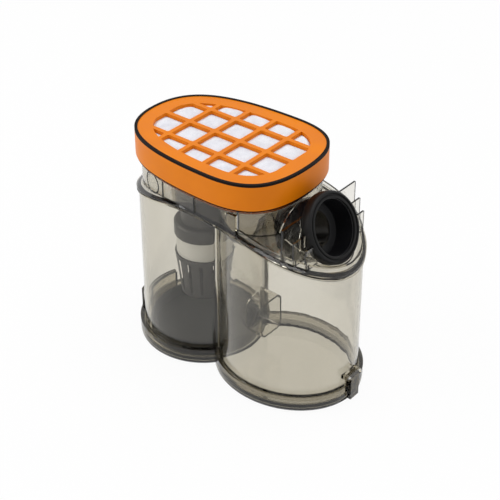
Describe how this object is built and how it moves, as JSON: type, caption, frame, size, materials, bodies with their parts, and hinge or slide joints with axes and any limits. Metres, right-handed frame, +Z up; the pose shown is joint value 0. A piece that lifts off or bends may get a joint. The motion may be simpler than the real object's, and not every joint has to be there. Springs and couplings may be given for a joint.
{
  "type": "cyclone dust bin",
  "caption": "Two-lobed clear cyclone dust bin with a hinged bottom door, a lift-off upper housing with a tilted inlet and an egg-shaped filter on top.",
  "frame": {"origin": "on the cyclone's axis, on the flat underside that the bin stands on", "axes": "+X from the cyclone lobe towards the dust lobe and the inlet, +Z up along the cyclone's axis"},
  "size_m": [0.2134, 0.1114, 0.1924],
  "materials": {
    "smoky_clear": "clear smoky grey moulded plastic",
    "smoky_dark": "dark smoky grey moulded plastic",
    "orange_plastic": "satin orange moulded plastic",
    "filter_fleece": "white filter fleece",
    "black_rubber": "matt black soft seal",
    "black_plastic": "gloss black moulded plastic",
    "dark_plastic": "satin dark grey moulded plastic",
    "mesh_steel": "fine woven steel mesh",
    "pin_steel": "drawn steel rod"
  },
  "bodies": {
    "bin": {"bin_shell": "smoky_clear", "dust_duct": "smoky_clear", "hinge_pin": "pin_steel"},
    "door": {"bottom_door": "smoky_dark", "door_seal": "black_rubber", "cyclone_cone": "dark_plastic"},
    "housing": {"upper_housing": "smoky_clear", "housing_seal": "black_rubber", "inlet_tube": "black_plastic", "inlet_seal": "black_rubber", "inlet_channel": "smoky_clear", "shroud_cap": "dark_plastic", "shroud_seal": "black_rubber", "shroud_grille": "dark_plastic", "shroud_mesh": "mesh_steel"},
    "filter": {"filter_frame": "orange_plastic", "filter_media": "filter_fleece", "filter_top_seal": "black_rubber", "filter_base_seal": "black_rubber"}
  },
  "joints": [
    {"name": "door_hinge", "type": "hinge", "parent": "bin", "child": "door", "pos_m": [0.152, 0, 0.025], "axis": [0, -1, 0], "range_deg": [0, 95]},
    {"name": "housing_lift", "type": "slide", "parent": "bin", "child": "housing", "axis": [0, 0, 1], "range_m": [0, 0.115]},
    {"name": "filter_lift", "type": "slide", "parent": "housing", "child": "filter", "axis": [0, 0, 1], "range_m": [0, 0.04]}
  ]
}
